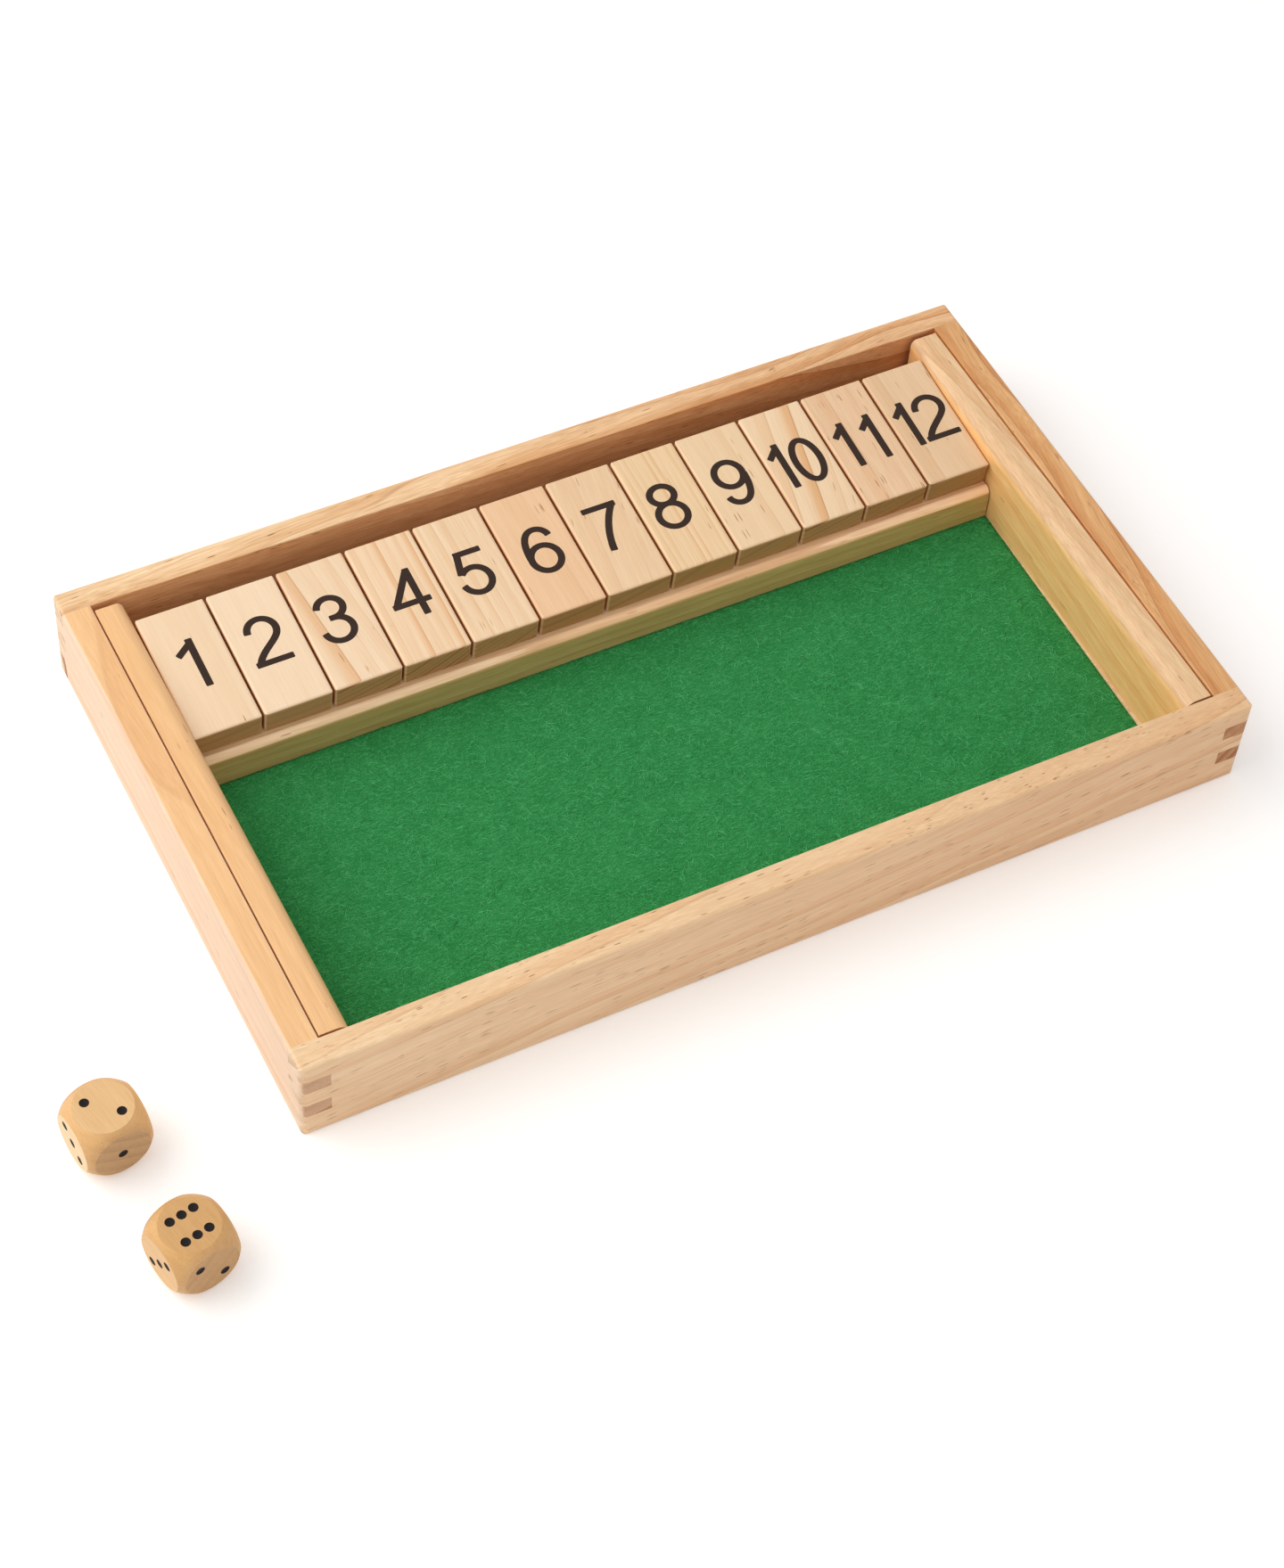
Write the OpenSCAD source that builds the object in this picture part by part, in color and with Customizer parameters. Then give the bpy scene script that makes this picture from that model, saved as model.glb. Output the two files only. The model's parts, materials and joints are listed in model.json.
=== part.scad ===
// Twelve-number flip-tile dice game: a finger-jointed wooden tray with a felted floor,
// twelve tiles that swing on one steel rod, and two drilled wooden dice beside it.
// X runs along the tray, Y from the player to the back, Z up; sizes are in millimetres.
// The origin is the middle of the tray's underside.

/* [Tray walls] */
// Outer length of the tray, side to side
tray_length = 343; // [310:1:400]
// Outer depth of the tray, front to back
tray_depth = 206; // [180:1:260]
// Height of the walls
wall_height = 36.2; // [35:0.1:45]
// Thickness of the front and back rails
rail_thickness = 9.5; // [8:0.1:14]
// Thickness of the two end walls
end_thickness = 10; // [8:0.1:14]
// Radius of the upright outer corners
corner_round = 2.5; // [0.5:0.1:3]
// Radius along the outer top and bottom edges
edge_round = 1.3; // [0.3:0.1:2]
// Radius of the eased inner top edges
edge_ease = 0.4; // [0.2:0.1:0.8]

/* [Finger joints] */
// Height of each finger of the end walls
finger_height = 6.1; // [4:0.1:6.5]
// Height of rail left above each finger
finger_space = 6.9; // [5:0.1:8]

/* [Floor] */
// Thickness of the floor panel
panel_thickness = 5; // [3:0.1:5]
// How far the panel is let in under each wall
panel_lap = 5; // [3:0.1:6]
// Gap round the panel in its rebate
panel_gap = 0.3; // [0.1:0.1:0.6]
// Thickness of the felt
felt_thickness = 1; // [0.6:0.1:2]
// Gap round the felt
felt_gap = 0.4; // [0.2:0.1:1]
// How much shorter the felt is cut at its right front corner
felt_skew = 1.2; // [0:0.1:2]

/* [Side rails] */
// Width of each side rail
side_rail_width = 10.2; // [9:0.1:14]
// Gap between a side rail and the end wall beside it
side_rail_seam = 0.6; // [0.2:0.1:0.8]
// How far the side rails stop below the tops of the walls
side_rail_drop = 0.3; // [0:0.1:1]
// Radius of the rounded inner top edge
side_rail_round = 4.5; // [2:0.1:6]
// Gap between a side rail's front end and the front rail
side_rail_front_gap = 0.8; // [0.1:0.1:1]
// Gap between a side rail's back end and the back rail
side_rail_back_gap = 1.8; // [1:0.1:3]
// Radius of the softened edges at that back end
side_rail_end_round = 1; // [0.5:0.1:2]

/* [Divider] */
// Thickness of the divider, front to back
divider_thickness = 12; // [10:0.1:16]
// Height of the divider above the floor panel
divider_height = 14.2; // [12:0.1:15]
// Radius of its rounded front top edge
divider_round = 3.5; // [1:0.1:5]
// How far its front face stands in front of the tiles' front ends
divider_lead = 3.3; // [3:0.1:5]
// Gap between each end of the divider and the side rail beside it
divider_end_gap = 0.5; // [0.1:0.1:0.8]

/* [Tiles] */
// Length of a tile
tile_length = 51.3; // [42:0.1:60]
// Thickness of a tile
tile_thickness = 10; // [8:0.1:12]
// Gap between neighbouring tiles
tile_gap = 0.8; // [0.6:0.1:1.5]
// Distance from a tile's back end to the middle of the rod
tile_tail = 12.4; // [8:0.1:14]
// Gap between the tiles' back ends and the back rail
tile_back_gap = 9.4; // [7:0.1:14]
// Radius along the tiles' top and bottom edges
tile_edge = 1; // [0.4:0.1:1.5]
// Radius of the tiles' four corners, seen from above
tile_corner = 1.5; // [0.4:0.1:3]

/* [Hinge rod] */
// Diameter of the steel rod
rod_diameter = 3.2; // [2:0.1:4]
// Height of the rod's middle above the floor panel
rod_height = 22.9; // [21:0.1:24]
// Depth of the blind hole in each side rail
rod_socket_depth = 7; // [5:0.1:8]
// Radial clearance of the rod in the tiles
rod_clearance = 0.08; // [0.05:0.01:0.1]
// Radial clearance of the rod in its blind holes
rod_socket_clearance = 0.03; // [0.01:0.01:0.05]

/* [Dice] */
// Width across the flat faces of a die
die_size = 22.5; // [14:0.5:26]
// Diameter of the ball that rounds off its corners, as a multiple of its width
die_ball_ratio = 1.31; // [1.2:0.01:1.5]
// Spacing of the pips, as a multiple of the die's width
pip_spacing_ratio = 0.185; // [0.15:0.005:0.22]
// Diameter of a pip
pip_diameter = 3.2; // [1.5:0.1:3.6]
// Depth of a pip
pip_depth = 0.4; // [0.3:0.1:0.9]
// Distance of the first die left of the tray
die_1_left = 55; // [30:0.5:80]
// Distance of the first die behind the line of the tray's front face
die_1_back = 22; // [10:0.5:60]
// Turn of the first die
die_1_turn = 7; // [-45:1:45]
// Distance of the second die left of the tray
die_2_left = 47; // [30:0.5:80]
// Distance of the second die in front of the line of the tray's front face
die_2_front = 26.5; // [10:0.5:60]
// Turn of the second die
die_2_turn = 12; // [-45:1:45]

/* [Hidden] */

$fn = 64;
// Cutters reach this far past the faces they open
over = 1;
tile_count = 12;
finger_count = 2;

half_length = tray_length / 2;
half_depth = tray_depth / 2;
inner_length = tray_length - 2 * end_thickness;
inner_depth = tray_depth - 2 * rail_thickness;
rail_face_y = half_depth - rail_thickness;

// The bay between the two side rails holds the tiles, the divider and the felt
bay_width = inner_length - 2 * (side_rail_seam + side_rail_width);
tile_pitch = bay_width / tile_count;
tile_width = tile_pitch - tile_gap;
side_rail_top = wall_height - side_rail_drop;

rod_y = rail_face_y - tile_back_gap - tile_tail;
rod_z = panel_thickness + rod_height;
tile_reach = tile_length - tile_tail;
divider_top = panel_thickness + divider_height;
divider_face_y = rod_y - tile_reach - divider_lead;

// A tile at rest leans on the divider with its rounded lower front edge: the middle of that
// rounding lies lean_reach ahead of the rod and lean_depth below the tile's mid-plane
lean_reach = tile_reach - tile_edge;
lean_depth = tile_thickness / 2 - tile_edge;
lean_drop = rod_z - divider_top - tile_edge;
tile_lean = asin(lean_drop / norm([lean_reach, lean_depth])) - atan2(lean_depth, lean_reach);

// A pip is the dimple of a ball-nosed cutter
pip_ball = (pow(pip_diameter / 2, 2) + pow(pip_depth, 2)) / (2 * pip_depth);
pip_spacing = die_size * pip_spacing_ratio;

pine = "burlywood";
tile_wood = "wheat";
die_wood = "tan";

// Rectangle from the origin to [w, h] with all four corners rounded
module soft_square(w, h, r) {
    translate([r, 0]) square([w - 2 * r, h]);
    translate([0, r]) square([w, h - 2 * r]);
    for (x = [r, w - r], y = [r, h - r])
        translate([x, y]) circle(r);
}

// What rounding takes off a corner at the origin, for material towards -x and -y
module corner_waste(r) {
    difference() {
        translate([-r, -r]) square(r + over);
        translate([-r, -r]) circle(r);
    }
}

// Stands an outline drawn in X and Z on edge and runs it along Y from y0 to y1
module run_along_y(y0, y1) {
    translate([0, y1, 0]) rotate([90, 0, 0]) linear_extrude(y1 - y0) children();
}

// Stands an outline drawn in Y and Z on edge and runs it along X from x0 to x1
module run_along_x(x0, x1) {
    translate([x0, 0, 0]) rotate([90, 0, 90]) linear_extrude(x1 - x0) children();
}

// The tray's outer form with its rounded corners and edges, as one block
module tray_block() {
    intersection() {
        translate([-half_length, -half_depth, 0])
            linear_extrude(wall_height) soft_square(tray_length, tray_depth, corner_round);
        run_along_y(-half_depth, half_depth)
            translate([-half_length, 0]) soft_square(tray_length, wall_height, edge_round);
        run_along_x(-half_length, half_length)
            translate([-half_depth, 0]) soft_square(tray_depth, wall_height, edge_round);
    }
}

// Underside of the finger numbered from the top
function finger_z(i) = wall_height - (i + 1) * (finger_space + finger_height);

// The fingers at the left end of the tray, running right through both rails
module left_fingers(thickness) {
    for (i = [0:finger_count - 1])
        translate([-half_length, -half_depth, finger_z(i)])
            cube([thickness, tray_depth, finger_height]);
}

// Space under the walls for the floor panel
module panel_rebate() {
    w = inner_length + 2 * (panel_lap + panel_gap);
    d = inner_depth + 2 * (panel_lap + panel_gap);
    translate([-w / 2, -d / 2, -over]) cube([w, d, panel_thickness + over]);
}

// Long rail at the front: runs the full length, notched for the end walls' fingers
module long_rail() {
    color(pine) difference() {
        intersection() {
            tray_block();
            translate([-half_length, -half_depth, 0])
                cube([tray_length, rail_thickness, wall_height]);
        }
        left_fingers(end_thickness);
        mirror([1, 0, 0]) left_fingers(end_thickness);
        panel_rebate();
        run_along_x(-inner_length / 2, inner_length / 2)
            translate([-rail_face_y, wall_height]) corner_waste(edge_ease);
    }
}

module front_rail() { long_rail(); }
module back_rail() { mirror([0, 1, 0]) long_rail(); }

// Wall at the left end: fits between the long rails, with fingers through them
module left_end_wall() {
    color(pine) difference() {
        intersection() {
            tray_block();
            union() {
                translate([-half_length, -inner_depth / 2, 0])
                    cube([end_thickness, inner_depth, wall_height]);
                left_fingers(end_thickness);
            }
        }
        panel_rebate();
        run_along_y(-half_depth, half_depth)
            translate([-inner_length / 2, wall_height]) corner_waste(edge_ease);
    }
}

module right_end_wall() { mirror([1, 0, 0]) left_end_wall(); }

// Floor panel, held up against the shoulder of the rebate
module bottom_panel() {
    w = inner_length + 2 * panel_lap;
    d = inner_depth + 2 * panel_lap;
    color("peru") translate([-w / 2, -d / 2, 0]) cube([w, d, panel_thickness]);
}

// Felt glued to the panel in front of the divider, cut a little out of square
module felt_mat() {
    x = bay_width / 2 - felt_gap;
    front = -rail_face_y + felt_gap;
    back = divider_face_y - felt_gap;
    color("seagreen") translate([0, 0, panel_thickness]) linear_extrude(felt_thickness)
        polygon([[-x, front], [x - felt_skew, front], [x, back], [-x, back]]);
}

// Rail across the tray that carries the front ends of the tiles
module divider_rail() {
    x = bay_width / 2 - divider_end_gap;
    color(pine) difference() {
        run_along_x(-x, x)
            translate([divider_face_y, panel_thickness])
                square([divider_thickness, divider_height]);
        run_along_x(-x - over, x + over)
            translate([divider_face_y, divider_top]) mirror([1, 0]) corner_waste(divider_round);
        run_along_x(-x - over, x + over)
            translate([divider_face_y + divider_thickness, divider_top]) corner_waste(edge_ease);
        for (side = [0, 1])
            mirror([side, 0, 0])
                run_along_y(divider_face_y - over, divider_face_y + divider_thickness + over)
                    translate([x, divider_top]) corner_waste(edge_ease);
    }
}

// Rail at the left end that holds the rod; its inner top edge is rounded over
module left_side_rail() {
    inner_x = -bay_width / 2;
    outer_x = inner_x - side_rail_width;
    front_y = -rail_face_y + side_rail_front_gap;
    back_y = rail_face_y - side_rail_back_gap;
    color(pine) difference() {
        translate([outer_x, front_y, panel_thickness])
            cube([side_rail_width, back_y - front_y, side_rail_top - panel_thickness]);
        run_along_y(front_y - over, back_y + over)
            translate([inner_x, side_rail_top]) corner_waste(side_rail_round);
        run_along_y(front_y - over, back_y + over)
            translate([outer_x, side_rail_top]) mirror([1, 0]) corner_waste(edge_ease);
        run_along_x(outer_x - over, inner_x + over)
            translate([back_y, side_rail_top]) corner_waste(side_rail_end_round);
        translate([0, 0, panel_thickness - over])
            linear_extrude(side_rail_top - panel_thickness + 2 * over)
                translate([inner_x, back_y]) corner_waste(side_rail_end_round);
        translate([0, 0, panel_thickness - over])
            linear_extrude(side_rail_top - panel_thickness + 2 * over)
                translate([outer_x, back_y]) mirror([1, 0]) corner_waste(side_rail_end_round);
        translate([inner_x - rod_socket_depth, rod_y, rod_z]) rotate([0, 90, 0])
            cylinder(h = rod_socket_depth + over, d = rod_diameter + 2 * rod_socket_clearance);
    }
}

module right_side_rail() { mirror([1, 0, 0]) left_side_rail(); }

// Steel rod from the bottom of one blind hole to the bottom of the other
module hinge_rod() {
    length = bay_width + 2 * rod_socket_depth;
    color("silver") translate([-length / 2, rod_y, rod_z]) rotate([0, 90, 0])
        cylinder(h = length, d = rod_diameter);
}

// Tile numbered from the left, bored for the rod and leaning on the divider
module tile(number) {
    middle_x = (number - (tile_count + 1) / 2) * tile_pitch;
    color(tile_wood) translate([middle_x, rod_y, rod_z]) rotate([tile_lean, 0, 0])
        difference() {
            intersection() {
                translate([-tile_width / 2, -tile_reach, -tile_thickness / 2])
                    linear_extrude(tile_thickness)
                        soft_square(tile_width, tile_length, tile_corner);
                run_along_y(-tile_reach, tile_tail)
                    translate([-tile_width / 2, -tile_thickness / 2])
                        soft_square(tile_width, tile_thickness, tile_edge);
                run_along_x(-tile_width / 2, tile_width / 2)
                    translate([-tile_reach, -tile_thickness / 2])
                        soft_square(tile_length, tile_thickness, tile_edge);
            }
            translate([-tile_width / 2 - over, 0, 0]) rotate([0, 90, 0])
                cylinder(h = tile_width + 2 * over, d = rod_diameter + 2 * rod_clearance);
        }
}

module tile_01() { tile(1); }
module tile_02() { tile(2); }
module tile_03() { tile(3); }
module tile_04() { tile(4); }
module tile_05() { tile(5); }
module tile_06() { tile(6); }
module tile_07() { tile(7); }
module tile_08() { tile(8); }
module tile_09() { tile(9); }
module tile_10() { tile(10); }
module tile_11() { tile(11); }
module tile_12() { tile(12); }

// Places of the pips of one value, in steps of the pip spacing
function pips(value) =
    value == 1 ? [[0, 0]] :
    value == 2 ? [[-1, 1], [1, -1]] :
    value == 3 ? concat(pips(1), pips(2)) :
    value == 4 ? concat(pips(2), [[1, 1], [-1, -1]]) :
    value == 5 ? concat(pips(1), pips(4)) :
    concat(pips(4), [[-1, 0], [1, 0]]);

// Turns that bring a pattern from the top of the die to each of its other faces
to_top = [0, 0, 0];
to_bottom = [180, 0, 0];
to_left = [0, -90, 0];
to_right = [0, 90, 0];
to_front = [90, 0, 0];
to_back = [-90, 0, 0];

// Wooden die; each of its faces is [value, turn to the face, turn of the pattern]
module die(faces) {
    color(die_wood) translate([0, 0, die_size / 2]) difference() {
        intersection() {
            cube(die_size, center = true);
            sphere(d = die_size * die_ball_ratio);
        }
        for (face = faces)
            rotate(face[1]) rotate([0, 0, face[2]])
                for (pip = pips(face[0]))
                    translate([pip.x * pip_spacing, pip.y * pip_spacing,
                            die_size / 2 + pip_ball - pip_depth])
                        sphere(r = pip_ball);
    }
}

module die_1() {
    translate([-half_length - die_1_left, die_1_back - half_depth, 0]) rotate([0, 0, die_1_turn])
        die([[2, to_top, 0], [5, to_bottom, 0], [3, to_left, 90],
            [4, to_right, 0], [1, to_front, 0], [6, to_back, 0]]);
}

module die_2() {
    translate([-half_length - die_2_left, -die_2_front - half_depth, 0]) rotate([0, 0, die_2_turn])
        die([[6, to_top, 90], [1, to_bottom, 0], [3, to_left, 0],
            [4, to_right, 0], [2, to_front, 0], [5, to_back, 0]]);
}

front_rail();
back_rail();
left_end_wall();
right_end_wall();
bottom_panel();
felt_mat();
divider_rail();
left_side_rail();
right_side_rail();
hinge_rod();
tile_01();
tile_02();
tile_03();
tile_04();
tile_05();
tile_06();
tile_07();
tile_08();
tile_09();
tile_10();
tile_11();
tile_12();
die_1();
die_2();
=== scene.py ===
"""Finish of a twelve-number flip-tile dice game: pine tray, felted floor, numbered tiles, dice.

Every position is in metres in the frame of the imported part: X along the tray, Y from the
player to the back, Z up. Wood patterns are worked out in millimetres.
"""

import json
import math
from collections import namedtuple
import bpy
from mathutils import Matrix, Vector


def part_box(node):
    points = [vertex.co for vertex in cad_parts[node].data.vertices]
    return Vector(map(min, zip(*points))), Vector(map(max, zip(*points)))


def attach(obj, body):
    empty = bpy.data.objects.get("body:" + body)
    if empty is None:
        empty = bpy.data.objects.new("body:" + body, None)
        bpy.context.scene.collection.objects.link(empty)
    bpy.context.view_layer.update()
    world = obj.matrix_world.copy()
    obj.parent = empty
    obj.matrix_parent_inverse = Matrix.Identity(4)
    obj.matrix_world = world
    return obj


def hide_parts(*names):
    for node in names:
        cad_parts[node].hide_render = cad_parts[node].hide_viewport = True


bl_info = {
    "name": "Flip-tile dice game",
    "version": (1, 0, 0),
    "blender": (4, 5, 0),
    "location": "View3D > Sidebar > Dice game",
    "description": "Gives the flip-tile dice game its woods, felt, numerals and pips",
    "category": "Object",
}

import bmesh
import bpy
from bpy.props import FloatProperty, FloatVectorProperty, IntProperty, PointerProperty
from mathutils import Matrix, Vector, noise
from mathutils.geometry import delaunay_2d_cdt

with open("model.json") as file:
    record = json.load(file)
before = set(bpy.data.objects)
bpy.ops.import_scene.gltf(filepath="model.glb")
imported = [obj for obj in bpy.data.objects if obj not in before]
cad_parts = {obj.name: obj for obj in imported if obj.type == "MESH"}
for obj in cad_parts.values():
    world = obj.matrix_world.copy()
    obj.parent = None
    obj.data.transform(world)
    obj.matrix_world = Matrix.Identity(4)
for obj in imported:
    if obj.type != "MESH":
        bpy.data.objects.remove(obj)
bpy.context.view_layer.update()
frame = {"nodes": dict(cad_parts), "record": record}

MM = 0.001
TILES = sorted(name for name in frame["nodes"] if name.startswith("tile_"))
DICE = sorted(name for name in frame["nodes"] if name.startswith("die_"))


# ---------------------------------------------------------------- colours and small helpers

def paint(red, green, blue):
    """A colour given as it looks, 0 to 255 each, as Blender's linear values."""
    def linear(level):
        share = level / 255
        return share / 12.92 if share <= 0.04045 else ((share + 0.055) / 1.055) ** 2.4
    return (linear(red), linear(green), linear(blue))


def opaque(colour):
    """A colour with full alpha."""
    return (*colour[:3], 1.0)


def tinted(colour, tint):
    """A colour times a tint, channel by channel."""
    return tuple(c * t for c, t in zip(colour, tint))


def body_of(node):
    """The body that carries a node of the part."""
    bodies = frame["record"]["behaviour"]["bodies"]
    return next(body for body, members in bodies.items() if node in members)


def put_material(node, material):
    """Gives a node of the part its finish."""
    mesh = frame["nodes"][node].data
    mesh.materials.clear()
    mesh.materials.append(material)


def linked(name, data):
    """A new object of the scene for a mesh, a lamp or a camera."""
    thing = bpy.data.objects.new(name, data)
    bpy.context.scene.collection.objects.link(thing)
    return thing


def plain_mesh(name, made):
    """The mesh that was made by bmesh, which is freed."""
    mesh = bpy.data.meshes.new(name)
    made.to_mesh(mesh)
    made.free()
    return mesh


def new_piece(name, mesh, material, body):
    """Links a finished mesh as a piece that rides on a body."""
    piece = linked(name, mesh)
    if material:
        mesh.materials.clear()
        mesh.materials.append(material)
    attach(piece, body)
    return piece


# ---------------------------------------------------------------- node wiring

class Wiring:
    """Adds nodes to a node tree. A value given to a socket is a number, a vector or a socket."""

    def __init__(self, tree):
        self.tree = tree

    def feed(self, socket, value):
        if isinstance(value, bpy.types.NodeSocket):
            self.tree.links.new(value, socket)
        else:
            socket.default_value = value

    def fill(self, node, values):
        for key, value in values.items():
            self.feed(node.inputs[key], value)

    def add(self, kind, inputs=None, **settings):
        node = self.tree.nodes.new(kind)
        for name, value in settings.items():
            setattr(node, name, value)
        self.fill(node, inputs or {})
        return node

    def math(self, operation, *values):
        return self.add("ShaderNodeMath", dict(enumerate(values)), operation=operation).outputs[0]

    def plus(self, first, second):
        return self.math("ADD", first, second)

    def minus(self, first, second):
        return self.math("SUBTRACT", first, second)

    def times(self, first, second):
        return self.math("MULTIPLY", first, second)

    def vector(self, operation, *values, output="Vector"):
        node = self.add("ShaderNodeVectorMath", dict(enumerate(values)), operation=operation)
        return node.outputs[output]

    def scaled(self, vector, factor):
        return self.add("ShaderNodeVectorMath", {0: vector, "Scale": factor},
                        operation="SCALE").outputs["Vector"]

    def ramp(self, value, low, high, to_low=0.0, to_high=1.0):
        """A smooth step from to_low at low to to_high at high."""
        inputs = {"Value": value, "From Min": low, "From Max": high, "To Min": to_low,
                  "To Max": to_high}
        node = self.add("ShaderNodeMapRange", inputs, interpolation_type="SMOOTHSTEP")
        return node.outputs["Result"]

    def noise(self, vector, detail=2.0, shift=0.0, rough=0.5):
        """4-D noise of about 0 to 1 at one cycle a unit; shift picks another pattern."""
        return self.add("ShaderNodeTexNoise",
                        {"Vector": vector, "W": shift, "Scale": 1.0, "Detail": detail,
                         "Roughness": rough}, noise_dimensions="4D")

    def mix(self, factor, first, second, blend="MIX"):
        node = self.add("ShaderNodeMix", data_type="RGBA", blend_type=blend)
        colour_inputs = [s for s in node.inputs if s.type == "RGBA"]
        self.feed(node.inputs["Factor"], factor)
        self.feed(colour_inputs[0], first)
        self.feed(colour_inputs[1], second)
        return next(s for s in node.outputs if s.type == "RGBA")

    def place_in_mm(self):
        """Where a point of the piece lies, in millimetres."""
        place = self.add("ShaderNodeTexCoord").outputs["Object"]
        return self.shrunk(place, (MM, MM, MM))

    def shrunk(self, place, sizes):
        """Places counted in steps of the given sizes along X, Y and Z."""
        return self.vector("MULTIPLY", place, tuple(1 / size for size in sizes))

    def mottle(self, place, sizes, detail, shift, rough=0.5):
        """Noise of about 0 to 1 whose spots have the given sizes along X, Y and Z."""
        return self.noise(self.shrunk(place, sizes), detail, shift, rough).outputs["Fac"]

    def split(self, vector):
        return self.add("ShaderNodeSeparateXYZ", {"Vector": vector}).outputs

    def join(self, x=0.0, y=0.0, z=0.0):
        return self.add("ShaderNodeCombineXYZ", {"X": x, "Y": y, "Z": z}).outputs[0]


def new_material(name):
    """A material with an empty tree, its wiring and its surface shader."""
    material = bpy.data.materials.new(name)
    material.use_nodes = True
    material.node_tree.nodes.clear()
    wiring = Wiring(material.node_tree)
    shader = wiring.add("ShaderNodeBsdfPrincipled")
    wiring.add("ShaderNodeOutputMaterial", {"Surface": shader.outputs[0]})
    return material, wiring, shader


def declare(tree, inputs, outputs):
    """Gives a node group its sockets: for each kind, their labels."""
    for direction, sockets in (("INPUT", inputs), ("OUTPUT", outputs)):
        for kind, labels in sockets.items():
            for label in labels.split(", "):
                tree.interface.new_socket(label, in_out=direction,
                                          socket_type=f"NodeSocket{kind}")


def bumped(wiring, shader, height, depth):
    """Raises the surface by height, 0 to 1, times depth in millimetres."""
    bump = wiring.add("ShaderNodeBump", {"Height": height, "Distance": depth * MM})
    wiring.feed(shader.inputs["Normal"], bump.outputs[0])


# ---------------------------------------------------------------- softwood

# How a board was cut from the tree. spacing: width of a year's ring in mm; pith: how far the
# middle of the trunk lies from the board's middle, across and up, in mm; slant and dip: how the
# trunk runs off sideways and downwards, per mm of length; rings: strength of the ring figure;
# wander: how far the rings waver, in mm; streaks: strength of the fine fibres; flecks: share of
# the wood that resin flecks can take; cloud: strength of the broad light and dark patches; shift:
# picks another pattern; tint: how this board's colour departs from the others'; far: how much
# further it departs at the far end of the grain, a painted fall of light and shade along the
# board; sides, edges and end: tints of the faces that look across, of the rounded edges and of
# the end grain at the near end. The sides and edges tints mostly paint light and shade on those
# faces, and the long rails' end tint paints sheen; each board's entry says which.
PLAIN = (1.0, 1.0, 1.0)
Cut = namedtuple("Cut", "spacing pith slant dip rings wander streaks flecks cloud shift"
                        " tint far sides edges end",
                 defaults=(PLAIN, PLAIN, PLAIN, PLAIN, PLAIN))

# The far tint, a painted fall of light and shade along a board, fades in from one end to the
# other over this far each way from its middle, in mm
PAINTED_FALLOFF_REACH = 170.0

# Sizes of what shows in the wood, along the grain and across it both ways, in mm: how the trunk
# sways, fine fibres, broader streaks, light and dark patches, the room of one resin fleck, the
# drifts that flecks come in, and the pores of end grain
SWAY, FIBRES, STREAKS, PATCHES = (130, 42, 42), (16, 0.5, 0.5), (55, 2.4, 2.4), (70, 16, 16)
FLECKS, DRIFTS, PORES = (7.5, 0.5, 0.5), (30, 9, 9), (2.0, 0.35, 0.35)


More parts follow.
